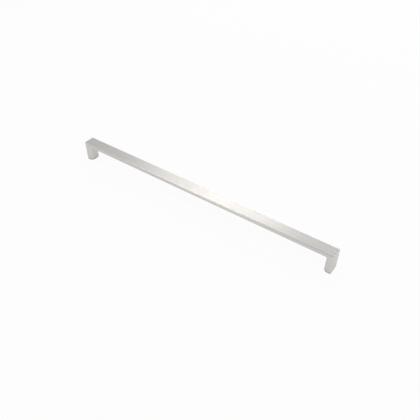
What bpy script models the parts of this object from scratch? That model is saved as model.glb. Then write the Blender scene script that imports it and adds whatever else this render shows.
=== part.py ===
"""Oven door handle: a hollow D-section bar, mitred onto two cast posts.

X runs along the bar, +Y away from the viewer and +Z out from the oven door.
The door's face is the plane z = 0 and the origin lies midway between the posts.
Each end is modelled in a frame of its own: its origin is where the post's outer
face meets the door, and the bar lies on the side of negative x.
"""
import math

import bmesh
import bpy
from mathutils import Matrix

# Overall sizes, in metres
LENGTH = 0.580
HEIGHT = 0.0425
WIDTH = 0.024

# D section: flat face, rounded edges, short straight sides, arched back
EDGE_ROUND = 0.001
BAR_LIP = 0.0016
FULLNESS = 2.7
BAR_DEPTH = 0.0125
BAR_WALL = 0.0018
POST_DEPTH = 0.015

# Casting
POST_WALL = 0.002
NOSE_WIDTH = 0.003
NOSE_ROUND = 0.0016
FOOT_ROUND = 0.0004
BOSS_RADIUS = 0.0048
CROSS_RIB = 0.004
LONG_RIB = 0.0016
RIB_RECESS = 0.0012
CORE_DRAFT = 0.0004
TONGUE_LEAD = 0.0006

# Fastening pieces
SCREW_EDGE = 0.006
SCREW_PITCH = 0.012
SCREWS_PER_END = 2
HEAD_RADIUS = 0.0028
HEAD_DEPTH = 0.0014
SHANK_RADIUS = 0.00145
SHANK_LENGTH = 0.0048
TIP_LENGTH = 0.0012
INSERT_RADIUS = 0.0028
INSERT_BORE = 0.0017
INSERT_LENGTH = 0.008
INSERT_GROOVE = 0.0004
INSERT_RELIEF = 0.0015
INSERT_CHAMFER = 0.0003

# Foot pad
PAD_THICKNESS = 0.0016
PAD_INSET = 0.0003
PAD_HOLE = 0.0025

# Clearance left between neighbours, and how far a cutter runs past what it cuts
FIT = 0.0003
PAST = 0.004

# Facets
ARCH_STEPS = 44
ROUND_STEPS = 4
TURN_STEPS = 28

FOOT = PAD_THICKNESS + FIT
CORE_TOP = HEIGHT - BAR_DEPTH - POST_WALL
TONGUE_DROP = BAR_WALL + FIT
POST_CENTRE = -POST_DEPTH / 2


def mitre_run(depth):
    """How far inboard of the outer face the mitre lies, at a depth below the front face."""
    return NOSE_WIDTH + depth * (POST_DEPTH - NOSE_WIDTH) / BAR_DEPTH


def section(width, depth, lip, corner):
    """D-section outline as (across, -depth) points, its flat face on the line 0.

    The arch is half a superellipse standing on the straight sides' ends:
    |across / half width|^FULLNESS + |(depth - lip) / rise|^FULLNESS = 1.
    """
    half = width / 2
    rise = depth - lip
    points = []
    for step in range(ROUND_STEPS + 1):
        turn = math.pi / 2 * (1 - step / ROUND_STEPS)
        points.append((half - corner + corner * math.cos(turn), -corner + corner * math.sin(turn)))
    for step in range(ARCH_STEPS + 1):
        turn = math.pi * step / ARCH_STEPS
        reach = math.copysign(abs(math.cos(turn)) ** (2 / FULLNESS), math.cos(turn))
        points.append((half * reach, -lip - rise * abs(math.sin(turn)) ** (2 / FULLNESS)))
    for step in range(ROUND_STEPS + 1):
        turn = math.pi / 2 * step / ROUND_STEPS
        points.append((-half + corner - corner * math.cos(turn), -corner + corner * math.sin(turn)))
    return points


def collection(name):
    """A new collection of the scene."""
    group = bpy.data.collections.new(name)
    bpy.context.scene.collection.children.link(group)
    return group


def material(name, colour, metallic, roughness):
    """A Principled BSDF material."""
    made = bpy.data.materials.new(name)
    made.use_nodes = True
    shader = made.node_tree.nodes["Principled BSDF"]
    shader.inputs["Base Color"].default_value = (*colour, 1)
    shader.inputs["Metallic"].default_value = metallic
    shader.inputs["Roughness"].default_value = roughness
    return made


def place(name, mesh, matrix, group, parent=None):
    """An object of a mesh, placed in its parent's frame."""
    made = bpy.data.objects.new(name, mesh)
    group.objects.link(made)
    made.parent = parent
    made.matrix_local = matrix
    return made


def hide(cutter):
    """Marks an object as a cutter."""
    cutter.hide_render = True
    cutter.display_type = "WIRE"
    return cutter


def combine(target, other, operation="DIFFERENCE"):
    """Adds a Boolean modifier to an object."""
    step = target.modifiers.new(other.name, "BOOLEAN")
    step.operation = operation
    step.solver = "EXACT"
    step.object = other


def prism(name, outlines, low, high):
    """Mesh of a filled 2D curve, extruded along its normal from low to high."""
    curve = bpy.data.curves.new(name, "CURVE")
    curve.dimensions = "2D"
    curve.fill_mode = "BOTH"
    curve.extrude = (high - low) / 2
    for outline in outlines:
        spline = curve.splines.new("POLY")
        spline.points.add(len(outline) - 1)
        spline.use_cyclic_u = True
        for point, (x, y) in zip(spline.points, outline):
            point.co = (x, y, 0, 1)
    holder = bpy.data.objects.new(name, curve)
    bpy.context.scene.collection.objects.link(holder)
    graph = bpy.context.evaluated_depsgraph_get()
    mesh = bpy.data.meshes.new_from_object(holder.evaluated_get(graph))
    bpy.data.objects.remove(holder)
    bpy.data.curves.remove(curve)

    work = bmesh.new()
    work.from_mesh(mesh)
    bmesh.ops.remove_doubles(work, verts=work.verts, dist=0.000001)
    bmesh.ops.translate(work, verts=work.verts, vec=(0, 0, (low + high) / 2))
    bmesh.ops.recalc_face_normals(work, faces=work.faces)
    work.to_mesh(mesh)
    work.free()
    mesh.shade_smooth()
    mesh.set_sharp_from_angle(angle=math.radians(30))
    return mesh


def draw_in(mesh, level, inset, width, depth, length=0):
    """Draws in a D prism's end face, at a level of its normal, by an inset on every side.

    The sides taper from the other end, or only over the length next to the face if one is given.
    """
    work = bmesh.new()
    work.from_mesh(mesh)
    if length:
        everything = work.verts[:] + work.edges[:] + work.faces[:]
        bmesh.ops.bisect_plane(work, geom=everything, plane_co=(0, 0, level + length), plane_no=(0, 0, 1))
    face = [vert for vert in work.verts if abs(vert.co.z - level) < FIT / 10]
    share = (1 - 2 * inset / width, 1 - 2 * inset / depth, 1)
    bmesh.ops.scale(work, vec=share, space=Matrix.Translation((0, depth / 2, 0)), verts=face)
    work.to_mesh(mesh)
    work.free()


def turned(name, profile):
    """Object data for a profile of (radius, height) points turned round Z, outer side downwards."""
    mesh = bpy.data.meshes.new(name)
    closed = profile[0][0] > 0
    count = len(profile)
    edges = [(index, index + 1) for index in range(count - 1)]
    if closed:
        edges.append((count - 1, 0))
    mesh.from_pydata([(radius, 0, height) for radius, height in profile], edges, [])
    return mesh


def turn(target):
    """Adds the Screw modifier that turns a profile into a solid."""
    spin = target.modifiers.new("turn", "SCREW")
    spin.steps = TURN_STEPS
    spin.render_steps = TURN_STEPS
    spin.use_merge_vertices = True
    spin.merge_threshold = 0.00001
    spin.use_smooth_shade = False


# Frames in which an outline is drawn, by the way its x, its y and its normal point
ALONG_BAR = Matrix(((0, 0, 1, 0), (1, 0, 0, 0), (0, 1, 0, 0), (0, 0, 0, 1)))
DOWN_POST = Matrix(((0, 1, 0, 0), (1, 0, 0, 0), (0, 0, -1, 0), (0, 0, 0, 1)))
SIDE_VIEW = Matrix(((1, 0, 0, 0), (0, 0, -1, 0), (0, 1, 0, 0), (0, 0, 0, 1)))


def mitre_cutter(name, shift, group, parent):
    """What lies outboard of the mitre plane, seen from the side, shifted inboard."""
    high = -PAST
    low = BAR_DEPTH + PAST
    outline = [
        (-mitre_run(high) - shift, HEIGHT - high),
        (-mitre_run(low) - shift, HEIGHT - low),
        (PAST, HEIGHT - low),
        (PAST, HEIGHT - high),
    ]
    mesh = prism(name, [outline], -WIDTH / 2 - PAST, WIDTH / 2 + PAST)
    return hide(place(name, mesh, SIDE_VIEW, group, parent))


def crown_cutter(name, group, parent):
    """What lies above a post: over its rounded nose, and inboard of the mitre plane."""
    outline = [(PAST, HEIGHT - NOSE_ROUND)]
    for step in range(ROUND_STEPS * 2 + 1):
        turn_angle = math.pi / 2 * step / (ROUND_STEPS * 2)
        outline.append((
            -NOSE_ROUND + NOSE_ROUND * math.cos(turn_angle),
            HEIGHT - NOSE_ROUND + NOSE_ROUND * math.sin(turn_angle),
        ))
    low = BAR_DEPTH + PAST
    outline.append((-NOSE_WIDTH, HEIGHT))
    outline.append((-mitre_run(low), HEIGHT - low))
    outline.append((-mitre_run(low), HEIGHT + PAST))
    outline.append((PAST, HEIGHT + PAST))
    mesh = prism(name, [outline], -WIDTH / 2 - PAST, WIDTH / 2 + PAST)
    return hide(place(name, mesh, SIDE_VIEW, group, parent))


def screw_profile(clearance):
    """Half outline of a countersunk screw whose point is up, its head's face at height 0."""
    slope = (HEAD_RADIUS - SHANK_RADIUS) / HEAD_DEPTH
    lift = clearance * (math.hypot(slope, 1) - 1) / slope
    neck = HEAD_DEPTH + lift
    shoulder = HEAD_DEPTH + SHANK_LENGTH
    tip = shoulder + TIP_LENGTH + clearance
    head = HEAD_RADIUS + clearance
    shank = SHANK_RADIUS + clearance
    foot = -PAST if clearance else 0
    points = [(0, tip), (shank * 0.4, tip), (shank, shoulder), (shank, neck)]
    if clearance:
        points.append((head, lift))
    points.append((head, foot))
    points.append((0, foot))
    return points


def bar_section():
    """Outer and inner outlines of the extrusion."""
    outer = section(WIDTH, BAR_DEPTH, BAR_LIP, EDGE_ROUND)
    inner_width = WIDTH - 2 * BAR_WALL
    inner_depth = BAR_DEPTH - 2 * BAR_WALL
    corner = EDGE_ROUND / 2
    inner = section(inner_width, inner_depth, max(BAR_LIP / 2, corner), corner)
    return outer, [(x, y - BAR_WALL) for x, y in inner]


def make_bar(group, cutters, ends, holes, finish):
    """The extrusion, mitred at both ends and countersunk at the back."""
    mesh = prism("bar", bar_section(), -LENGTH / 2, LENGTH / 2)
    mesh.materials.append(finish)
    bar = place("bar", mesh, Matrix.Translation((0, 0, HEIGHT)) @ ALONG_BAR, group)
    lean = math.hypot(BAR_DEPTH, POST_DEPTH - NOSE_WIDTH) / BAR_DEPTH
    for side, end in ends.items():
        combine(bar, mitre_cutter(f"mitre_{side}", FIT * lean, cutters, end))
    for hole in holes:
        combine(bar, hole)
    return bar


def core_cutter(name, group, parent):
    """The hollow cored up a post from its foot, with draft, less the boss and its ribs."""
    width = WIDTH - 2 * POST_WALL
    depth = POST_DEPTH - 2 * POST_WALL
    lip = NOSE_WIDTH + BAR_LIP - POST_WALL
    corner = min(EDGE_ROUND, lip)
    mesh = prism(name, [section(width, depth, max(lip, corner), corner)], -CORE_TOP, -FOOT + PAST)
    draw_in(mesh, -CORE_TOP, CORE_DRAFT, width, depth)
    core = hide(place(name, mesh, Matrix.Translation((-POST_WALL, 0, 0)) @ DOWN_POST, group, parent))

    boss_mesh = bpy.data.meshes.new(f"{name}_boss")
    work = bmesh.new()
    length = CORE_TOP + PAST - FOOT
    bmesh.ops.create_cone(
        work, cap_ends=True, segments=TURN_STEPS, radius1=BOSS_RADIUS, radius2=BOSS_RADIUS, depth=length,
    )
    work.to_mesh(boss_mesh)
    work.free()
    centre = Matrix.Translation((POST_CENTRE, 0, FOOT + length / 2))
    boss = hide(place(f"{name}_boss", boss_mesh, centre, group, parent))
    combine(core, boss)

    rib_length = CORE_TOP + PAST - FOOT - RIB_RECESS
    for label, size_x, size_y in (
        ("cross", POST_DEPTH + PAST, CROSS_RIB),
        ("long", LONG_RIB, WIDTH + PAST),
    ):
        rib_mesh = bpy.data.meshes.new(f"{name}_{label}")
        work = bmesh.new()
        bmesh.ops.create_cube(work, size=1)
        bmesh.ops.scale(work, vec=(size_x, size_y, rib_length), verts=work.verts)
        work.to_mesh(rib_mesh)
        work.free()
        middle = Matrix.Translation((POST_CENTRE, 0, FOOT + RIB_RECESS + rib_length / 2))
        combine(core, hide(place(f"{name}_{label}", rib_mesh, middle, group, parent)))
    return core


def insert_hole(name, group, parent):
    """Blind hole for the threaded insert, up the boss: a drill's point and a chamfered mouth."""
    radius = INSERT_RADIUS + FIT
    depth = INSERT_LENGTH + INSERT_RELIEF
    profile = [
        (0, depth + radius / 2),
        (radius, depth),
        (radius, INSERT_CHAMFER),
        (radius + INSERT_CHAMFER + PAST, -PAST),
        (0, -PAST),
    ]
    centre = Matrix.Translation((POST_CENTRE, 0, FOOT))
    hole = hide(place(name, turned(name, profile), centre, group, parent))
    turn(hole)
    return hole


def post_prism():
    """The upright D section of a post, its foot edge rounded."""
    lip = mitre_run(BAR_LIP)
    mesh = prism("post", [section(WIDTH, POST_DEPTH, lip, EDGE_ROUND)], -HEIGHT - PAST / 2, -FOOT)
    work = bmesh.new()
    work.from_mesh(mesh)
    rim = []
    for edge in work.edges:
        low = all(abs(vert.co.z + FOOT) < FIT / 10 for vert in edge.verts)
        upright = any(abs(face.normal.z) < 0.5 for face in edge.link_faces)
        if low and upright:
            rim.append(edge)
    bmesh.ops.bevel(
        work, geom=rim, offset=FOOT_ROUND, segments=2, profile=0.5, affect="EDGES", clamp_overlap=True,
    )
    work.to_mesh(mesh)
    work.free()
    return mesh


def make_post(side, group, cutters, end, holes, finish):
    """A cast post: mitred crown, cored foot, and a tongue that enters the bar."""
    mesh = post_prism()
    mesh.materials.append(finish)
    post = place(f"post_{side}", mesh, DOWN_POST, group, end)
    combine(post, crown_cutter(f"crown_{side}", cutters, end))

    width = WIDTH - 2 * TONGUE_DROP
    depth = BAR_DEPTH - 2 * TONGUE_DROP
    corner = EDGE_ROUND / 2
    outline = section(width, depth, max(BAR_LIP / 2, corner), corner)
    reach = POST_DEPTH + 2 * SCREW_EDGE + SCREW_PITCH * (SCREWS_PER_END - 1)
    tongue_mesh = prism("tongue", [outline], -reach, -mitre_run(TONGUE_DROP) / 2)
    draw_in(tongue_mesh, -reach, TONGUE_LEAD, width, depth, 2 * TONGUE_LEAD)
    height = Matrix.Translation((0, 0, HEIGHT - TONGUE_DROP))
    tongue = hide(place(f"tongue_{side}", tongue_mesh, height @ ALONG_BAR, cutters, end))
    combine(post, tongue, "UNION")

    combine(post, core_cutter(f"core_{side}", cutters, end))
    combine(post, insert_hole(f"insert_hole_{side}", cutters, end))
    for hole in holes:
        combine(post, hole)
    return post


def make_insert(side, group, end, finish):
    """A threaded insert: a bush with a groove round its middle."""
    third = INSERT_LENGTH / 3
    groove = INSERT_RADIUS - INSERT_GROOVE
    profile = [
        (INSERT_BORE, INSERT_LENGTH),
        (groove, INSERT_LENGTH),
        (INSERT_RADIUS, INSERT_LENGTH - INSERT_GROOVE),
        (INSERT_RADIUS, 2 * third),
        (groove, 2 * third),
        (groove, third),
        (INSERT_RADIUS, third),
        (INSERT_RADIUS, 0),
        (INSERT_BORE, 0),
    ]
    mesh = turned("insert", profile)
    mesh.materials.append(finish)
    insert = place(f"insert_{side}", mesh, Matrix.Translation((POST_CENTRE, 0, FOOT)), group, end)
    turn(insert)
    return insert


def make_pad(side, group, end, finish):
    """The thin pad between a post and the door, with a hole for the door's screw."""
    lip = mitre_run(BAR_LIP)
    inset = 2 * PAD_INSET
    outline = section(WIDTH - inset, POST_DEPTH - inset, lip - PAD_INSET, EDGE_ROUND)
    outline = [(x, y - PAD_INSET) for x, y in outline]
    ring = []
    for step in range(TURN_STEPS):
        angle = 2 * math.pi * step / TURN_STEPS
        ring.append((PAD_HOLE * math.cos(angle), POST_CENTRE + PAD_HOLE * math.sin(angle)))
    mesh = prism("pad", [outline, ring], -PAD_THICKNESS, 0)
    mesh.materials.append(finish)
    return place(f"pad_{side}", mesh, DOWN_POST, group, end)


def screw_places():
    """Where the bar's screws stand, in an end's frame."""
    height = HEIGHT - BAR_DEPTH
    for index in range(SCREWS_PER_END):
        yield index + 1, Matrix.Translation((-POST_DEPTH - SCREW_EDGE - index * SCREW_PITCH, 0, height))


def make_screw(name, where, group, end, finish):
    """A countersunk screw, turned from its half outline."""
    mesh = turned("screw", screw_profile(0))
    mesh.materials.append(finish)
    screw = place(name, mesh, where, group, end)
    turn(screw)
    return screw


def make_screw_hole(name, where, group, end):
    """The countersunk hole of a screw, its clearance all round."""
    hole = hide(place(name, turned(name, screw_profile(FIT)), where, group, end))
    turn(hole)
    return hole


def clear_scene():
    """Empties the scene."""
    for thing in list(bpy.data.objects):
        bpy.data.objects.remove(thing)


def build():
    """Makes the handle."""
    clear_scene()
    group = collection("oven_door_handle")
    cutters = collection("cutters")

    brushed = material("brushed_aluminium", (0.60, 0.60, 0.59), 1.0, 0.32)
    cast = material("satin_casting", (0.58, 0.58, 0.57), 1.0, 0.38)
    steel = material("zinc_plated_steel", (0.52, 0.53, 0.54), 1.0, 0.30)
    brass = material("brass", (0.70, 0.52, 0.25), 1.0, 0.35)
    rubber = material("grey_elastomer", (0.16, 0.16, 0.165), 0.0, 0.75)

    ends = {}
    for side, sign in (("left", -1), ("right", 1)):
        facing = Matrix.Rotation(math.pi if sign < 0 else 0, 4, "Z")
        end = bpy.data.objects.new(f"end_{side}", None)
        group.objects.link(end)
        end.matrix_world = Matrix.Translation((sign * LENGTH / 2, 0, 0)) @ facing
        ends[side] = end

    all_holes = []
    for side, end in ends.items():
        holes = []
        for number, where in screw_places():
            holes.append(make_screw_hole(f"screw_hole_{side}_{number}", where, cutters, end))
            make_screw(f"screw_{side}_{number}", where, group, end, steel)
        make_post(side, group, cutters, end, holes, cast)
        make_insert(side, group, end, brass)
        make_pad(side, group, end, rubber)
        all_holes.extend(holes)
    make_bar(group, cutters, ends, all_holes, brushed)


build()
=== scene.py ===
import math

import bmesh
import bpy
import numpy as np
from mathutils import Matrix, Vector


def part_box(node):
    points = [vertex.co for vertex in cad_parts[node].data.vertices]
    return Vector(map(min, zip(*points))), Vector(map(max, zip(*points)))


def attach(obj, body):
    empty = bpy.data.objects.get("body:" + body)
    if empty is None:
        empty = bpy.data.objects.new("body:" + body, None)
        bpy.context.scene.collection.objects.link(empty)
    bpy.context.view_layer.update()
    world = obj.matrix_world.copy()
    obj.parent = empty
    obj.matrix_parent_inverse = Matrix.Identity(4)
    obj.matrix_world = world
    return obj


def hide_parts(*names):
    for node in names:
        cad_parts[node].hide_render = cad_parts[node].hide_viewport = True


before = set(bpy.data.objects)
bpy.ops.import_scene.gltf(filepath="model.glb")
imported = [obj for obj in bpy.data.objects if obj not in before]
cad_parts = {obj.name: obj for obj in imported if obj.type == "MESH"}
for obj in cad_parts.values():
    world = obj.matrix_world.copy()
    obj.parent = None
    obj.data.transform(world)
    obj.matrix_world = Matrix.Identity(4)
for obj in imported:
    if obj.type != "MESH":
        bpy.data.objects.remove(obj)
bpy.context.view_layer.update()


# Bar. One length of extruded aluminium: hollow, with a flat front face, rounded edges and an
# arched back. Both ends are sawn to a mitre and dressed, the back is drilled and countersunk
# for four screws, and the bar is brushed along its length and clear anodised.

bar_low, bar_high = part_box("bar")
post_low, post_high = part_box("post_right")
screw_low, screw_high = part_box("screw_right_1")

OUTER_FACE = post_high.x
FRONT = bar_high.z
BACK = bar_low.z
WIDTH = bar_high.y - bar_low.y
BAR_DEPTH = FRONT - BACK
BAR_WALL = 0.0018
POST_DEPTH = 0.015
NOSE_WIDTH = 0.003
EDGE_ROUND = 0.0023
FULLNESS = 2.7
CLEARANCE = 0.0003
DRESSED = 0.00012
JOINT = 0.00015

# The arched back starts at the lip. It stays deeper than the edge's rounding, because only then
# do all the outlines have as many points.
BAR_LIP = 0.0025

HEAD_RADIUS = (screw_high.x - screw_low.x) / 2
HEAD_DEPTH = 0.0014
SHANK_RADIUS = 0.00145
TIP_LENGTH = 0.0012
SCREW_HEIGHT = screw_high.z - screw_low.z
HOLE_TURNS = 64

screw_places = {}
for side in ("left", "right"):
    for number in (1, 2):
        low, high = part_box(f"screw_{side}_{number}")
        screw_places[f"screw_{side}_{number}"] = ((low + high) / 2).xy

# How far a cutter reaches past the surface that it cuts, and how near to each other points are
# made one.
PAST = 0.004
TOUCHING = 0.000001

FACE_STEPS = 28
SPAN = np.sin(np.linspace(-math.pi / 2, math.pi / 2, FACE_STEPS + 1))
ROUND_STEPS = 8
ARCH_STEPS = 48
LENGTH_STEPS = 72
DRILLED_STEPS = 24
DRILLED_FROM = 0.9

# A linear colour, and the fold between two faces, in degrees, that counts as a sharp edge.
ALUMINIUM = (0.762, 0.743, 0.713)
SHARP_FOLD = 30


def mitre_run(depth):
    """How far inboard of the post's outer face the mitre lies: it grows evenly with depth."""
    return NOSE_WIDTH + depth * (POST_DEPTH - NOSE_WIDTH) / BAR_DEPTH


def half_width(depth, width, full_depth, lip, corner):
    """Half the width of a D section at each depth under its flat face.

    Down to the corner's radius it follows a quarter circle, down to the lip it is straight,
    and from there half a superellipse: |across / half|^n + |(depth - lip) / rise|^n = 1.
    """
    half = width / 2
    rounded = half - corner + np.sqrt(np.clip(corner**2 - (corner - depth) ** 2, 0, None))
    share = np.clip((depth - lip) / (full_depth - lip), 0, 1)
    arched = half * (1 - share**FULLNESS) ** (1 / FULLNESS)
    return np.where(depth < corner, rounded, arched)


def section_depths(full_depth, lip, corner):
    """Depths of a D section's points down one side, close together where it bends."""
    bend = corner - corner * np.cos(np.linspace(0, math.pi / 2, ROUND_STEPS + 1))
    around = np.linspace(0, math.pi / 2, ARCH_STEPS + 1)
    arch = lip + (full_depth - lip) * np.sin(around) ** (2 / FULLNESS)
    return np.unique(np.concatenate([bend, arch]).round(9))


def d_outline(width, full_depth, lip, corner, depths=None):
    """Closed D outline as rows of (across, depth).

    It runs along the flat face, down one side to the middle of the back, and up the other.
    """
    if depths is None:
        depths = section_depths(full_depth, lip, corner)
    face = (width / 2 - corner) * SPAN
    down = depths[1:]
    side = np.stack([half_width(down, width, full_depth, lip, corner), down], axis=1)
    other = side[-2::-1] * (-1, 1)
    return np.concatenate([np.stack([face, face * 0], axis=1), side, other])


def ring_faces(count, size, wrapped=False):
    """Quads between neighbouring loops of a stack, as rows of four point numbers."""
    number = np.arange(count * size).reshape(count, size)
    own = number if wrapped else number[:-1]
    following = np.roll(number, -1, axis=0) if wrapped else number[1:]
    quads = np.stack([own, np.roll(own, -1, 1), np.roll(following, -1, 1), following], axis=-1)
    return quads.reshape(-1, 4).tolist()


def fan_faces(first, size, middle):
    """Triangles from each side of one loop to a middle point."""
    near = np.arange(first, first + size)
    return np.stack([np.roll(near, -1), near, np.full(size, middle)], axis=1).tolist()


def welded(name, points, faces):
    """Closed mesh of these faces: points that meet are made one, and every face looks outwards."""
    mesh = bpy.data.meshes.new(name)
    mesh.from_pydata(points.tolist(), [], faces)
    work = bmesh.new()
    work.from_mesh(mesh)
    bmesh.ops.remove_doubles(work, verts=work.verts, dist=TOUCHING)
    bmesh.ops.recalc_face_normals(work, faces=work.faces)
    work.to_mesh(mesh)
    work.free()
    return mesh


def solid(name, loops, wrapped=False):
    """Closed mesh through a stack of loops of points, given as loops x points x 3.

    Quads join each loop to the next. In a wrapped stack the last loop joins the first, and
    otherwise each end loop is closed by a fan round its middle point.
    """
    loops = np.asarray(loops, float)
    count, size = loops.shape[:2]
    points = loops.reshape(-1, 3)
    faces = ring_faces(count, size, wrapped)
    if not wrapped:
        points = np.concatenate([points, loops[[0, -1]].mean(1)])
        faces += fan_faces(0, size, count * size)
        faces += fan_faces((count - 1) * size, size, count * size + 1)
    return welded(name, points, faces)


def combine(mesh, others, operation):
    """The mesh after a Boolean with each of the others, whose faces bring their own material."""
    holder = bpy.data.objects.new("holder", mesh)
    bpy.context.scene.collection.objects.link(holder)
    helpers = []
    for other in others:
        helper = bpy.data.objects.new("helper", other)
        bpy.context.scene.collection.objects.link(helper)
        step = holder.modifiers.new("step", "BOOLEAN")
        step.operation = operation
        step.material_mode = "TRANSFER"
        step.object = helper
        helpers.append(helper)
    graph = bpy.context.evaluated_depsgraph_get()
    result = bpy.data.meshes.new_from_object(holder.evaluated_get(graph))
    for thing in [holder, *helpers]:
        bpy.data.objects.remove(thing)
    return result


def read_mesh(mesh):
    """A mesh's points, its corners' point and edge numbers, and its faces' normals and sizes."""
    points = np.empty(len(mesh.vertices) * 3)
    mesh.vertices.foreach_get("co", points)
    corner_points = np.empty(len(mesh.loops), int)
    mesh.loops.foreach_get("vertex_index", corner_points)
    corner_edges = np.empty(len(mesh.loops), int)
    mesh.loops.foreach_get("edge_index", corner_edges)
    normals = np.empty(len(mesh.polygons) * 3)
    mesh.polygons.foreach_get("normal", normals)
    sizes = np.empty(len(mesh.polygons), int)
    mesh.polygons.foreach_get("loop_total", sizes)
    return points.reshape(-1, 3), corner_points, corner_edges, normals.reshape(-1, 3), sizes


def lay_grain(mesh, grain_axis):
    """UV map in metres whose V runs along the brushing and whose U runs across it.

    Each face is seen along the axis that it faces most. A face that looks along the grain
    takes the other two axes.
    """
    points, corner_points, _, normals, sizes = read_mesh(mesh)
    facing = np.repeat(np.abs(normals).argmax(1), sizes)
    v_axis = np.where(facing == grain_axis, (grain_axis + 1) % 3, grain_axis)
    u_axis = 3 - facing - v_axis
    corners = points[corner_points]
    rows = np.arange(len(corners))
    uv = np.stack([corners[rows, u_axis], corners[rows, v_axis]], axis=1)
    layer = mesh.uv_layers.new(name="grain")
    layer.uv.foreach_set("vector", uv.ravel())


def mark_wear(mesh):
    """Point attribute from 0 to 1: the sharpest fold at each point, as a share of a sharp one.

    The fold at an edge is the angle between the normals of its two faces, in degrees.
    """
    points, _, corner_edges, normals, sizes = read_mesh(mesh)
    order = np.argsort(corner_edges, kind="stable")
    faces = np.repeat(np.arange(len(sizes)), sizes)[order]
    numbers = np.arange(len(mesh.edges))
    first = faces[np.searchsorted(corner_edges[order], numbers)]
    last = faces[np.searchsorted(corner_edges[order], numbers, side="right") - 1]
    fold = np.degrees(np.arccos(np.clip((normals[first] * normals[last]).sum(1), -1, 1)))
    ends = np.empty(len(numbers) * 2, int)
    mesh.edges.foreach_get("vertices", ends)
    sharpest = np.zeros(len(points))
    np.maximum.at(sharpest, ends, np.repeat(fold, 2))
    layer = mesh.attributes.new("wear", "FLOAT", "POINT")
    layer.data.foreach_set("value", np.clip(sharpest / SHARP_FOLD, 0, 1))


def finish_piece(name, mesh, node, grain_axis=0):
    """Puts a finished mesh into the scene, in the place of the CAD node that it stands for."""
    mesh.shade_smooth()
    mesh.set_sharp_from_angle(angle=math.radians(SHARP_FOLD))
    lay_grain(mesh, grain_axis)
    mark_wear(mesh)
    piece = bpy.data.objects.new(name, mesh)
    bpy.context.scene.collection.objects.link(piece)
    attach(piece, "root")
    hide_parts(node)


def along_bar(outline, top, x):
    """Points of a section that stands across the bar: x in metres, one value or one a point."""
    across, down = outline.T
    return np.stack([np.broadcast_to(x, across.shape), across, top - down], axis=1)


def bar_mesh():
    """The bar as one wrapped stack of loops: out along the outside and back along the inside.

    Each station along the bar is a share of its mitred end, so the last loops lie on the mitre.
    The stations stand closer together where the back is drilled.
    """
    outer = d_outline(WIDTH, BAR_DEPTH, BAR_LIP, EDGE_ROUND)
    dressed = d_outline(WIDTH - 2 * DRESSED, BAR_DEPTH - 2 * DRESSED, BAR_LIP - DRESSED, EDGE_ROUND)
    dressed = dressed + (0, DRESSED)
    inner_size = (WIDTH - 2 * BAR_WALL, BAR_DEPTH - 2 * BAR_WALL, BAR_LIP / 2, EDGE_ROUND / 2)
    inner = d_outline(*inner_size) + (0, BAR_WALL)

    def end(outline):
        """Where the mitred end lies at each point's depth."""
        return OUTER_FACE - mitre_run(outline[:, 1]) - JOINT

    outermost = max(x for x, _ in screw_places.values())
    drilled = np.linspace(outermost / bar_high.x * DRILLED_FROM, 1, DRILLED_STEPS)
    plain = np.linspace(-drilled[0], drilled[0], LENGTH_STEPS)
    shares = np.concatenate([-drilled[:0:-1], plain, drilled[1:]])
    reach = end(outer) - DRESSED
    outside = [along_bar(outer, FRONT, share * reach) for share in shares]
    right = along_bar(dressed, FRONT, end(dressed))
    left = along_bar(dressed, FRONT, -end(dressed))
    inside = [along_bar(inner, FRONT, sign * end(inner)) for sign in (1, -1)]
    return solid("bar_extrusion", [*outside, right, *inside, left], wrapped=True)


def turned(radii, heights, turns, x=0, y=0, base=0):
    """Loops of points round an upright axis, from a radius and a height for each loop or point."""
    angles = np.linspace(0, 2 * math.pi, turns, endpoint=False)
    shape = (len(radii), turns)
    radii = np.broadcast_to(np.asarray(radii, float).reshape(len(radii), -1), shape)
    heights = np.broadcast_to(np.asarray(heights, float).reshape(len(heights), -1), shape)
    return np.stack([x + radii * np.cos(angles), y + radii * np.sin(angles), base + heights], axis=-1)


def screw_hole(x, y):
    """The countersunk hole that a screw needs in the bar's back and in the tongue behind it.

    Its cone is lifted until it keeps the clearance from the screw's cone, measured square to it.
    """
    slope = (HEAD_RADIUS - SHANK_RADIUS) / HEAD_DEPTH
    lift = CLEARANCE * (math.hypot(slope, 1) - 1) / slope
    shank = SHANK_RADIUS + CLEARANCE
    head = HEAD_RADIUS + CLEARANCE
    radii = [head, head, shank, shank, shank / 2]
    heights = [-PAST, lift, HEAD_DEPTH + lift, SCREW_HEIGHT - TIP_LENGTH, SCREW_HEIGHT + CLEARANCE]
    return solid("screw_hole", turned(radii, heights, HOLE_TURNS, x, y, BACK))


def noise(tree, scale, detail):
    """Noise on the object's own coordinates, with so many cells a metre along X, Y and Z."""
    place = tree.nodes.new("ShaderNodeTexCoord")
    mapping = tree.nodes.new("ShaderNodeMapping")
    mapping.inputs["Scale"].default_value = scale
    texture = tree.nodes.new("ShaderNodeTexNoise")
    texture.inputs["Scale"].default_value = 1
    texture.inputs["Detail"].default_value = detail
    tree.links.new(place.outputs["Object"], mapping.inputs["Vector"])
    tree.links.new(mapping.outputs["Vector"], texture.inputs["Vector"])
    return texture.outputs["Fac"]


def ranged(tree, source, low, high, start=0.3, end=0.7):
    """A number spread so that its start gives low and its end gives high.

    The start and end given here are those that noise mostly keeps between.
    """
    step = tree.nodes.new("ShaderNodeMapRange")
    step.inputs["From Min"].default_value = start
    step.inputs["From Max"].default_value = end
    step.inputs["To Min"].default_value = low
    step.inputs["To Max"].default_value = high
    tree.links.new(source, step.inputs["Value"])
    return step.outputs["Result"]


def joined(tree, operation, *sources):
    """Numbers added or multiplied one after another."""
    total = sources[0]
    for source in sources[1:]:
        step = tree.nodes.new("ShaderNodeMath")
        step.operation = operation
        tree.links.new(total, step.inputs[0])
        tree.links.new(source, step.inputs[1])
        total = step.outputs[0]
    return total


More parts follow.
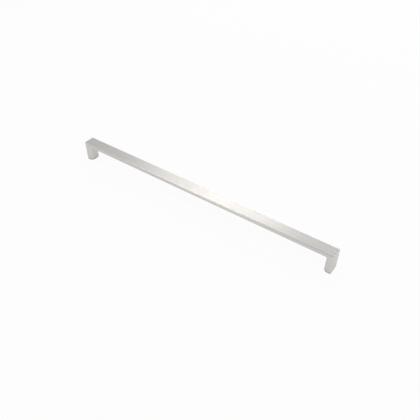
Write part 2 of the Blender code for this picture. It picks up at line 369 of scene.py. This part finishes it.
def tinted(tree, colour, tone):
    """A colour made lighter or darker by a tone."""
    tint = tree.nodes.new("ShaderNodeVectorMath")
    tint.operation = "SCALE"
    tint.inputs[0].default_value = colour
    tree.links.new(tone, tint.inputs["Scale"])
    return tint.outputs["Vector"]


def roughened(tree, shader, height, strength, distance):
    """Raises the surface by a height, whose full range is a distance in metres."""
    bump = tree.nodes.new("ShaderNodeBump")
    bump.inputs["Strength"].default_value = strength
    bump.inputs["Distance"].default_value = distance
    tree.links.new(height, bump.inputs["Height"])
    tree.links.new(bump.outputs["Normal"], shader.inputs["Normal"])


# Noises in cells a metre, across and along the grain or along X, Y and Z, and what each does.
HAIRLINES = (5200, 9)
BRUSH_LINES = (1500, 5)
SOFT_BANDS = (260, 2.2)
BRUSH_SPREAD = 0.03
LINE_STRENGTH = 0.12
LINE_DEPTH = 0.00002
HANDLING = (38, 38, 38)
HANDLING_SPREAD = (-0.02, 0.025)
RUBBING = (420, 420, 420)
RUBBED_BETWEEN = (0.42, 0.6)
RUBBED_TONE = 1.12
RUBBED_SMOOTHER = -0.06


def worked_metal(name, colour, roughness, grain_axes, anisotropy=0, streak=0.03):
    """A brushed or turned metal: fine lines in its colour, its roughness and its bump.

    Three noises are drawn out along the grain: hairlines, brush lines and wide soft bands. A
    fourth, even one is the handling that dulls it. A fifth gives the patches in which the
    edges are rubbed brighter and smoother.
    """
    finish = bpy.data.materials.new(name)
    finish.use_nodes = True
    tree = finish.node_tree
    shader = tree.nodes["Principled BSDF"]
    shader.inputs["Metallic"].default_value = 1
    shader.inputs["Anisotropic"].default_value = anisotropy

    def lines(cells, detail):
        """Noise drawn out along the grain, in cells a metre across it and along it."""
        across, along = cells
        scale = [along if axis in grain_axes else across for axis in range(3)]
        return noise(tree, scale, detail)

    hair = lines(HAIRLINES, detail=2)
    brush = lines(BRUSH_LINES, detail=3)
    band = lines(SOFT_BANDS, detail=2)
    dull = noise(tree, HANDLING, detail=4)
    rubbed = tree.nodes.new("ShaderNodeAttribute")
    rubbed.attribute_name = "wear"
    patchy = ranged(tree, noise(tree, RUBBING, detail=3), 0, 1, *RUBBED_BETWEEN)
    wear = joined(tree, "MULTIPLY", rubbed.outputs["Fac"], patchy)

    tone = joined(
        tree, "MULTIPLY",
        ranged(tree, hair, 1 - streak, 1 + streak),
        ranged(tree, band, 1 - streak, 1 + streak),
        ranged(tree, wear, 1, RUBBED_TONE, start=0, end=1),
    )
    tree.links.new(tinted(tree, colour, tone), shader.inputs["Base Color"])
    spread = joined(
        tree, "ADD",
        ranged(tree, brush, roughness - BRUSH_SPREAD, roughness + BRUSH_SPREAD),
        ranged(tree, dull, *HANDLING_SPREAD),
        ranged(tree, wear, 0, RUBBED_SMOOTHER, start=0, end=1),
    )
    tree.links.new(spread, shader.inputs["Roughness"])
    roughened(tree, shader, joined(tree, "ADD", hair, brush), LINE_STRENGTH, LINE_DEPTH)

    grain = tree.nodes.new("ShaderNodeTangent")
    grain.direction_type = "UV_MAP"
    grain.uv_map = "grain"
    tree.links.new(grain.outputs["Tangent"], shader.inputs["Tangent"])
    return finish


brushed = worked_metal(
    "brushed aluminium", ALUMINIUM, roughness=0.36, grain_axes=(0,), anisotropy=0.85,
)
bar = bar_mesh()
bar.materials.append(brushed)
bar = combine(bar, [screw_hole(x, y) for x, y in screw_places.values()], "DIFFERENCE")
finish_piece("bar_extrusion", bar, "bar")


# Posts. Two aluminium castings, one pattern turned round for the other end. Each has a solid
# crown cut to the bar's mitre, a tongue that slides into the bar, and a foot cored out round a
# boss and two ribs. The outside is ground, brushed upright and anodised with the bar.

insert_low, insert_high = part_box("insert_right")

FOOT = post_low.z
FOOT_ROUND = 0.0004
POST_LIP = mitre_run(BAR_LIP)
POST_CENTRE = OUTER_FACE - POST_DEPTH / 2
POST_WALL = 0.002
NOSE_ROUND = 0.0016
RIDGE = 0.00012
UPRIGHT_STEPS = 14

CORE_TOP = FRONT - BAR_DEPTH - POST_WALL
CORE_DRAFT = 0.0004
CORE_ROUND = 0.0015
BOSS_RADIUS = 0.0048
CROSS_RIB = 0.004
LONG_RIB = 0.0016
RIB_RECESS = 0.0012
CAST_TURNS = 56

TONGUE_DROP = BAR_WALL + CLEARANCE
TONGUE_LEAD = 0.0006

INSERT_RADIUS = (insert_high.x - insert_low.x) / 2
INSERT_LENGTH = insert_high.z - insert_low.z
INSERT_RELIEF = 0.0015

CAST_SKIN = (0.66, 0.65, 0.63)
CAST_METALLIC = 0.4
PEBBLES = (2600, 2600, 2600)
PEBBLE_ROUGHNESS = (0.5, 0.68)
PEBBLE_STRENGTH = 0.6
PEBBLE_DEPTH = 0.00006
CAST_PATCHES = (210, 210, 210)
PATCH_TONES = (0.78, 1)

# The corners of a box's ends, and the least share that something is divided by.
SQUARE = np.array([(-1, -1, 0), (1, -1, 0), (1, 1, 0), (-1, 1, 0)])
LEAST_SHARE = 0.000001


def crown_height(depth, across):
    """Height of a post's crown: rounded at its nose and sides, level between, then the mitre.

    Nose and side are squared shares, 0 where the rounding starts and 1 at the rim. The crown
    drops by radius * (1 - sqrt(1 - nose - side)), whose radius goes from the nose's to the side's.
    """
    nose = np.clip(1 - depth / NOSE_ROUND, 0, 1) ** 2
    side = np.clip((np.abs(across) - WIDTH / 2) / EDGE_ROUND + 1, 0, 1) ** 2
    either = np.maximum(nose + side, LEAST_SHARE)
    radius = (NOSE_ROUND * nose + EDGE_ROUND * side) / either
    crown = FRONT - radius * (1 - np.sqrt(np.clip(1 - either, 0, 1)))
    mitre = FRONT - (depth - NOSE_WIDTH) * BAR_DEPTH / (POST_DEPTH - NOSE_WIDTH)
    return np.minimum(crown, mitre)


def post_depths():
    """Depths of a post's points down one side.

    Among them are those of its nose's curve, of its ridge, and where the mitre meets the bar's
    rounded edge.
    """
    bend = 1 - np.cos(np.linspace(0, math.pi / 2, ROUND_STEPS + 1))
    ridge = [NOSE_WIDTH - RIDGE, NOSE_WIDTH + RIDGE]
    sides = section_depths(POST_DEPTH, POST_LIP, EDGE_ROUND)
    depths = np.concatenate([sides, NOSE_ROUND * bend, ridge, mitre_run(EDGE_ROUND * bend)])
    return np.unique(depths.round(6))


def standing(outline, z, face=OUTER_FACE):
    """Points of a level D outline whose flat side looks outboard, at one height or one a point."""
    across, down = outline.T
    return np.stack([face - down, across, np.broadcast_to(z, across.shape)], axis=1)


def drawn_in(outline, inset, width, depth):
    """An outline drawn in by an inset on each side, towards the middle of its depth."""
    middle = np.array([0, depth / 2])
    shrink = 1 - inset / np.array([width / 2, depth / 2])
    return middle + (outline - middle) * shrink


def crown_grid(outline, rows):
    """The crown as level strips across the post, from one side of its outline to the other.

    Each row spans between the two points of one depth. The last one is a single point.
    """
    front = outline[: FACE_STEPS + 1]
    right = outline[FACE_STEPS + 1: FACE_STEPS + rows]
    across = np.concatenate([front[None, :, 0], right[:, :1] * SPAN])
    down = np.concatenate([front[None, :, 1], np.repeat(right[:, 1:], FACE_STEPS + 1, axis=1)])
    points = np.stack([OUTER_FACE - down, across, crown_height(down, across)], axis=-1)
    number = np.arange(across.size).reshape(across.shape)
    quads = np.stack([number[:-1, :-1], number[1:, :-1], number[1:, 1:], number[:-1, 1:]], -1)
    return points.reshape(-1, 3), quads.reshape(-1, 4)


def post_mesh():
    """A post before it is cored: foot rounding, skin, dressed edge and crown.

    Each loop of the skin lies a share of the way from the foot up to the crown over each point.
    """
    depths = post_depths()
    outline = d_outline(WIDTH, POST_DEPTH, POST_LIP, EDGE_ROUND, depths)
    ease = DRESSED * np.clip(outline[:, 1] / EDGE_ROUND, 0, 1)
    dressed = outline * (1 - ease[:, None] / (WIDTH / 2, POST_DEPTH))
    loops = []
    for turn in np.linspace(0, math.pi / 2, ROUND_STEPS, endpoint=False):
        inset = FOOT_ROUND * (1 - math.sin(turn))
        lift = FOOT_ROUND * (1 - math.cos(turn))
        loops.append(standing(drawn_in(outline, inset, WIDTH, POST_DEPTH), FOOT + lift))
    start = FOOT + FOOT_ROUND
    rise = crown_height(outline[:, 1], outline[:, 0]) - ease - start
    for share in np.linspace(0, 1, UPRIGHT_STEPS + 1):
        loops.append(standing(outline, start + share * rise))
    loops.append(standing(dressed, crown_height(dressed[:, 1], dressed[:, 0])))

    loops = np.asarray(loops)
    count, size = loops.shape[:2]
    crown, crown_faces = crown_grid(dressed, len(depths))
    points = np.concatenate([loops.reshape(-1, 3), loops[:1].mean(1), crown])
    faces = ring_faces(count, size) + fan_faces(0, size, count * size)
    faces += (crown_faces + count * size + 1).tolist()
    return welded("post_casting", points, faces)


def tongue_mesh():
    """The tongue that slides into the bar, its free end tapered for an easy start."""
    width = WIDTH - 2 * TONGUE_DROP
    depth = BAR_DEPTH - 2 * TONGUE_DROP
    outline = d_outline(width, depth, BAR_LIP / 2, EDGE_ROUND / 2)
    tip = drawn_in(outline, TONGUE_LEAD, width, depth)
    top = FRONT - TONGUE_DROP
    return solid("tongue", [
        along_bar(tip, top, post_low.x),
        along_bar(outline, top, post_low.x + 2 * TONGUE_LEAD),
        along_bar(outline, top, OUTER_FACE - mitre_run(TONGUE_DROP) / 2),
    ])


def box_mesh(centre, size):
    """An upright box: a square of four points at each end, stretched to half its size."""
    ends = np.array([SQUARE + (0, 0, end) for end in (-1, 1)])
    return solid("box", ends * (np.asarray(size) / 2) + centre)


def core_mesh():
    """What the core leaves hollow: a tapered, round-topped D less a boss and two ribs."""
    width = WIDTH - 2 * POST_WALL
    depth = POST_DEPTH - 2 * POST_WALL
    lip = NOSE_WIDTH + BAR_LIP - POST_WALL
    outline = d_outline(width, depth, lip, min(EDGE_ROUND, lip))
    stages = [(FOOT - PAST, 0), (FOOT, 0)]
    for turn in np.linspace(0, math.pi / 2, ROUND_STEPS + 1):
        inset = CORE_DRAFT + CORE_ROUND * (1 - math.cos(turn))
        stages.append((CORE_TOP - CORE_ROUND * (1 - math.sin(turn)), inset))
    face = OUTER_FACE - POST_WALL
    loops = [standing(drawn_in(outline, inset, width, depth), height, face) for height, inset in stages]
    core = solid("core", loops)

    boss_radii = [BOSS_RADIUS, BOSS_RADIUS, BOSS_RADIUS + CORE_DRAFT]
    boss_heights = [FOOT - 2 * PAST, FOOT, CORE_TOP + PAST]
    boss = solid("boss", turned(boss_radii, boss_heights, CAST_TURNS, POST_CENTRE))
    rib_height = CORE_TOP + PAST - FOOT - RIB_RECESS
    centre = (POST_CENTRE, 0, FOOT + RIB_RECESS + rib_height / 2)
    ribs = [
        box_mesh(centre, (POST_DEPTH + PAST, CROSS_RIB, rib_height)),
        box_mesh(centre, (LONG_RIB, WIDTH + PAST, rib_height)),
    ]
    return combine(core, [boss, *ribs], "DIFFERENCE")


def insert_hole():
    """The blind hole for the threaded insert, its mouth broken by a small chamfer."""
    radius = INSERT_RADIUS + CLEARANCE
    top = FOOT + INSERT_LENGTH + INSERT_RELIEF
    radii = [radius + PAST, radius, radius, radius / 2]
    heights = [FOOT - PAST + CLEARANCE, FOOT + CLEARANCE, top, top + radius / 2]
    return solid("insert_hole", turned(radii, heights, CAST_TURNS, POST_CENTRE))


def as_cast(name, colour):
    """The skin that the mould leaves inside: dull and evenly pebbled, with darker patches."""
    finish = bpy.data.materials.new(name)
    finish.use_nodes = True
    tree = finish.node_tree
    shader = tree.nodes["Principled BSDF"]
    shader.inputs["Metallic"].default_value = CAST_METALLIC
    pebbles = noise(tree, PEBBLES, detail=3)
    patches = noise(tree, CAST_PATCHES, detail=3)
    tree.links.new(tinted(tree, colour, ranged(tree, patches, *PATCH_TONES)), shader.inputs["Base Color"])
    tree.links.new(ranged(tree, pebbles, *PEBBLE_ROUGHNESS), shader.inputs["Roughness"])
    roughened(tree, shader, pebbles, PEBBLE_STRENGTH, PEBBLE_DEPTH)
    return finish


satin = worked_metal(
    "satin casting", ALUMINIUM, roughness=0.38, grain_axes=(2,), anisotropy=0.8,
)
rough_skin = as_cast("cast skin", CAST_SKIN)
post = post_mesh()
post.materials.append(satin)
post = combine(post, [tongue_mesh()], "UNION")

# The Booleans leave the core an empty material slot, which goes before its skin is given.
core = core_mesh()
core.materials.clear()
core.materials.append(rough_skin)
holes = [screw_hole(x, y) for name, (x, y) in screw_places.items() if "right" in name]
post = combine(post, [core, insert_hole(), *holes], "DIFFERENCE")

half_turn = Matrix.Rotation(math.pi, 4, "Z")
other_post = post.copy()
other_post.transform(half_turn)
finish_piece("post_casting_right", post, "post_right", grain_axis=2)
finish_piece("post_casting_left", other_post, "post_left", grain_axis=2)


# Threaded inserts. A turned brass bush in each post's boss, pushed up hard from below, with two
# slanted knurls that bite the casting, a plain groove between them and a metric thread inside.

INSERT_BORE = 0.0017
INSERT_GROOVE = 0.0004
THREAD_PITCH = 0.0007
THREAD_HEIGHT = 0.00028
KNURL_TEETH = 26
KNURL_DEPTH = 0.00018
KNURL_SLANT = 0.0075
INSERT_TURNS = 182
BAND_STEPS = 12
STEPS_PER_PITCH = 8
BRASS = (0.78, 0.56, 0.27)


def insert_mesh():
    """A bush as one wrapped stack: up its outside and down its bore.

    A knurled radius is R - depth * |sin(teeth / 2 * (angle + height / slant))|, and the
    threaded one grows and falls evenly with height / pitch + angle / full turn.
    """
    angles = np.linspace(0, 2 * math.pi, INSERT_TURNS, endpoint=False)
    third = INSERT_LENGTH / 3
    groove = INSERT_RADIUS - INSERT_GROOVE
    radii = []
    heights = []
    for low, high, slant in ((0, third, KNURL_SLANT), (2 * third, INSERT_LENGTH, -KNURL_SLANT)):
        radii.append(np.full(INSERT_TURNS, groove))
        heights.append(low)
        for height in np.linspace(low + INSERT_GROOVE, high - INSERT_GROOVE, BAND_STEPS):
            tooth = np.abs(np.sin(KNURL_TEETH / 2 * (angles + height / slant)))
            radii.append(INSERT_RADIUS - KNURL_DEPTH * tooth)
            heights.append(height)
        radii.append(np.full(INSERT_TURNS, groove))
        heights.append(high)
    mouth = INSERT_BORE + THREAD_HEIGHT
    radii.append(np.full(INSERT_TURNS, mouth))
    heights.append(INSERT_LENGTH)
    count = int(INSERT_LENGTH / THREAD_PITCH * STEPS_PER_PITCH)
    for height in np.linspace(INSERT_LENGTH - THREAD_HEIGHT, THREAD_HEIGHT, count):
        turn = (height / THREAD_PITCH + angles / (2 * math.pi)) % 1
        radii.append(INSERT_BORE + THREAD_HEIGHT * np.abs(2 * turn - 1))
        heights.append(height)
    radii.append(np.full(INSERT_TURNS, mouth))
    heights.append(0)
    return solid("insert", turned(radii, heights, INSERT_TURNS, POST_CENTRE, 0, FOOT), wrapped=True)


brass = worked_metal("turned brass", BRASS, roughness=0.27, grain_axes=(0, 1), streak=0.06)
insert = insert_mesh()
insert.materials.append(brass)
other_insert = insert.copy()
other_insert.transform(half_turn)
finish_piece("threaded_insert_right", insert, "insert_right", grain_axis=2)
finish_piece("threaded_insert_left", other_insert, "insert_left", grain_axis=2)


# Pads. A moulded elastomer pad under each foot, a little smaller than the foot, which keeps the
# metal off the oven door's enamel or glass. The door's screw passes through its round hole.

PAD_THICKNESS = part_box("pad_right")[1].z
PAD_INSET = 0.0003
PAD_HOLE = 0.0025
PAD_ROUND = 0.0003
PAD_RINGS = 10

ELASTOMER = (0.34, 0.34, 0.345)
ELASTOMER_SPECULAR = 0.35
MOULD_TEXTURE = (4200, 4200, 4200)
MOULD_ROUGHNESS = (0.66, 0.84)
MOULD_STRENGTH = 0.5
MOULD_DEPTH = 0.00003
BLOOM = (150, 150, 150)
BLOOM_TONES = (0.88, 1.15)


def pad_mesh():
    """A pad as one wrapped stack: its rounded rim, its top, its hole and its underside.

    Each loop of a face lies a share of the way from the D outline to the hole, where every
    point goes to the hole's rim in its own direction from the hole's centre.
    """
    outline = d_outline(
        WIDTH - 2 * PAD_INSET, POST_DEPTH - 2 * PAD_INSET, POST_LIP - PAD_INSET, EDGE_ROUND,
    )
    outline = outline + (0, PAD_INSET)
    centre = np.array([0, POST_DEPTH / 2])
    spoke = outline - centre
    length = np.hypot(*spoke.T)[:, None]
    direction = spoke / length

    def loop(distance, height):
        """A loop at a distance from the hole's centre for each spoke."""
        return standing(centre + direction * distance, height)

    def face(height, shares):
        """Loops across a face, from just inside its rounded rim to just outside the hole."""
        outside = length - PAD_ROUND
        inside = PAD_HOLE + PAD_ROUND
        return [loop(outside + share * (inside - outside), height) for share in shares]

    def rounding(distance, sign, turns):
        """Loops along a rim: quarter circles at its foot and its top, and a plain band between."""
        loops = []
        for turn in turns:
            out = distance + sign * PAD_ROUND * (math.cos(turn) - 1)
            flat = PAD_THICKNESS / 2 - PAD_ROUND
            height = PAD_THICKNESS / 2 + math.copysign(flat, turn) + PAD_ROUND * math.sin(turn)
            loops.append(loop(out, height))
        return loops

    bend = np.linspace(-math.pi / 2, math.pi / 2, 2 * ROUND_STEPS)
    inner = np.linspace(0, 1, PAD_RINGS)
    return solid("pad", [
        *rounding(length, 1, bend),
        *face(PAD_THICKNESS, inner)[1:-1],
        *rounding(PAD_HOLE, -1, bend[::-1]),
        *face(0, inner[::-1])[1:-1],
    ], wrapped=True)


def moulded(name, colour):
    """Soft grey elastomer: a fine even mould texture, and a faint bloom in paler patches."""
    finish = bpy.data.materials.new(name)
    finish.use_nodes = True
    tree = finish.node_tree
    shader = tree.nodes["Principled BSDF"]
    shader.inputs["Specular IOR Level"].default_value = ELASTOMER_SPECULAR
    texture = noise(tree, MOULD_TEXTURE, detail=2)
    bloom = noise(tree, BLOOM, detail=4)
    tree.links.new(tinted(tree, colour, ranged(tree, bloom, *BLOOM_TONES)), shader.inputs["Base Color"])
    tree.links.new(ranged(tree, texture, *MOULD_ROUGHNESS), shader.inputs["Roughness"])
    roughened(tree, shader, texture, MOULD_STRENGTH, MOULD_DEPTH)
    return finish


pad = pad_mesh()
pad.materials.append(moulded("grey elastomer", ELASTOMER))
other_pad = pad.copy()
other_pad.transform(half_turn)
finish_piece("foot_pad_right", pad, "pad_right")
finish_piece("foot_pad_left", other_pad, "pad_left")


# Screws. Four countersunk self-tapping screws in zinc-plated steel, two through the bar's back
# at each end. Each head has a cross recess and sits flush, and its thread bites the tongue.

SCREW_PITCH = 0.00106
ROOT_RADIUS = 0.00108
RIDGE_SHARPNESS = 2.4
POINT_TAPER = 0.6
RECESS_DEPTH = 0.0009
RECESS_REACH = 0.0016
ARM_HALF = 0.00036
RECESS_SLOPE = 0.00028
RIM = 0.00008
HEAD_RINGS = 40
CONE_RINGS = 6
SCREW_TURNS = 96
SHANK_STEPS = 10
ZINC = (0.62, 0.635, 0.66)


def screw_mesh(x, y):
    """A screw as a stack of turned loops, from the middle of its head's face up to its point.

    The recess lowers the face where a point lies within the cross: by its depth, eased over
    the slope at the arms' flanks and ends. The thread's radius rises from its root in a
    narrow ridge that follows height / pitch - angle / full turn, and the end tapers.
    """
    angles = np.linspace(0, 2 * math.pi, SCREW_TURNS, endpoint=False)
    out = np.linspace(RIM, HEAD_RADIUS - RIM, HEAD_RINGS)[:, None]
    sideways = np.abs(out * np.cos(angles))
    upward = np.abs(out * np.sin(angles))

    def within(distance, slope):
        """From 0 outside an edge to 1 inside it, half way at the edge itself."""
        return np.clip(distance / slope + 0.5, 0, 1)

    flank = within(ARM_HALF - np.minimum(sideways, upward), RECESS_SLOPE)
    tip = within(RECESS_REACH - np.maximum(sideways, upward), 2 * RECESS_SLOPE)
    recess = RECESS_DEPTH * flank * tip
    radii = [np.broadcast_to(ring, SCREW_TURNS) for ring in out]
    heights = list(recess)

    for share in np.linspace(0, 1, CONE_RINGS):
        radii.append(np.full(SCREW_TURNS, HEAD_RADIUS + share * (ROOT_RADIUS - HEAD_RADIUS)))
        heights.append(np.full(SCREW_TURNS, RIM + share * (HEAD_DEPTH - RIM)))

    shoulder = SCREW_HEIGHT - TIP_LENGTH
    count = int((SCREW_HEIGHT - HEAD_DEPTH) / SCREW_PITCH * SHANK_STEPS)
    for height in np.linspace(HEAD_DEPTH, SCREW_HEIGHT, count + 1)[1:]:
        turn = (height / SCREW_PITCH - angles / (2 * math.pi)) % 1
        ridge = np.clip(1 - RIDGE_SHARPNESS * np.abs(2 * turn - 1), 0, 1)
        begun = min(1, (height - HEAD_DEPTH) / SCREW_PITCH)
        slim = 1 - POINT_TAPER * max(0, height - shoulder) / TIP_LENGTH
        radii.append(slim * (ROOT_RADIUS + begun * (SHANK_RADIUS - ROOT_RADIUS) * ridge))
        heights.append(np.full(SCREW_TURNS, height))
    return solid("screw", turned(radii, heights, SCREW_TURNS, x, y, BACK))


zinc = worked_metal("zinc plated steel", ZINC, roughness=0.28, grain_axes=(0, 1), streak=0.05)
for name, (x, y) in screw_places.items():
    screw = screw_mesh(x, y)
    screw.materials.append(zinc)
    finish_piece(f"countersunk_{name}", screw, name, grain_axis=2)


# Stage. A pale studio floor that stands for the oven door's plane, an even room that the camera
# sees as white, and soft lights all round. The two keys behind and to the left give the bar its
# bright stretch. The camera's place and lens were recovered from the handle's edges.

CAMERA_PLACE = Vector((0.44471, -0.58571, 0.64862))
CAMERA_PITCH = math.radians(41.93)
CAMERA_TURN = math.radians(35.255)
FOCAL_PIXELS = 498.64
FRAME_PIXELS = 420
SENSOR = 36
NEAREST_SEEN = 0.01
LAMP_DISTANCE = 2.0

camera_data = bpy.data.cameras.new("camera")
camera_data.sensor_width = SENSOR
camera_data.lens = FOCAL_PIXELS / FRAME_PIXELS * SENSOR
camera_data.clip_start = NEAREST_SEEN
camera = bpy.data.objects.new("camera", camera_data)
camera.location = CAMERA_PLACE
camera.rotation_euler = (math.pi / 2 - CAMERA_PITCH, 0, CAMERA_TURN)
bpy.context.scene.collection.objects.link(camera)
bpy.context.scene.camera = camera


def softbox(name, bearing, elevation, width, height, power):
    """An area lamp at a bearing in degrees from +Y towards +X, aimed at the handle's middle.

    Its width and height are in metres, its power in watts.
    """
    lamp = bpy.data.lights.new(name, "AREA")
    lamp.shape = "RECTANGLE"
    lamp.size = width
    lamp.size_y = height
    lamp.energy = power
    turn = math.radians(bearing)
    lift = math.radians(elevation)
    flat = math.cos(lift)
    towards = Vector((math.sin(turn) * flat, math.cos(turn) * flat, math.sin(lift)))
    holder = bpy.data.objects.new(name, lamp)
    holder.location = towards * LAMP_DISTANCE
    holder.rotation_euler = towards.to_track_quat("Z", "Y").to_euler()
    bpy.context.scene.collection.objects.link(holder)


softbox("key", -26, 41, 0.52, 0.75, 1.62)
softbox("key wing", -41, 41, 0.30, 0.75, 0.77)
softbox("low back", -12, 16, 1.0, 0.5, 3.7)
softbox("back right", 35, 28, 0.6, 0.6, 2.8)
softbox("right", 110, 62, 1.2, 0.7, 4.7)
softbox("left", -100, 62, 1.0, 0.7, 3.5)
softbox("low front", -155, 12, 0.5, 0.4, 1.2)
softbox("overhead", 0, 87, 1.0, 1.0, 0.65)

# The room's light on the handle, the floor's colour, and how far the floor glows white for the
# camera and in the metal's reflections.
ROOM_LEVEL = 0.61
PAPER_WHITE = 0.86
SEEN_GLOW = 0.92
REFLECTED_GLOW = 0.25

world = bpy.data.worlds.new("room")
bpy.context.scene.world = world
world.use_nodes = True
room = world.node_tree
ray = room.nodes.new("ShaderNodeLightPath")
level = ranged(room, ray.outputs["Is Camera Ray"], ROOM_LEVEL, 1, start=0, end=1)
room.nodes["Background"].inputs["Color"].default_value = (1, 1, 1, 1)
room.links.new(level, room.nodes["Background"].inputs["Strength"])

FLOOR_REACH = 6.0
floor_mesh = bpy.data.meshes.new("floor")
floor_mesh.from_pydata((SQUARE * FLOOR_REACH).tolist(), [], [(0, 1, 2, 3)])
paper = bpy.data.materials.new("white paper")
paper.use_nodes = True
tree = paper.node_tree
matt = tree.nodes["Principled BSDF"]
matt.inputs["Base Color"].default_value = (PAPER_WHITE, PAPER_WHITE, PAPER_WHITE, 1)
matt.inputs["Roughness"].default_value = 1
matt.inputs["Specular IOR Level"].default_value = 0
glow = tree.nodes.new("ShaderNodeEmission")
seen = tree.nodes.new("ShaderNodeLightPath")
share = joined(
    tree, "ADD",
    ranged(tree, seen.outputs["Is Camera Ray"], 0, SEEN_GLOW, start=0, end=1),
    ranged(tree, seen.outputs["Is Glossy Ray"], 0, REFLECTED_GLOW, start=0, end=1),
)
blend = tree.nodes.new("ShaderNodeMixShader")
tree.links.new(share, blend.inputs["Fac"])
tree.links.new(matt.outputs[0], blend.inputs[1])
tree.links.new(glow.outputs[0], blend.inputs[2])
tree.links.new(blend.outputs[0], tree.nodes["Material Output"].inputs["Surface"])
floor_mesh.materials.append(paper)
floor = bpy.data.objects.new("floor", floor_mesh)
bpy.context.scene.collection.objects.link(floor)

bpy.context.scene.view_settings.view_transform = "Standard"
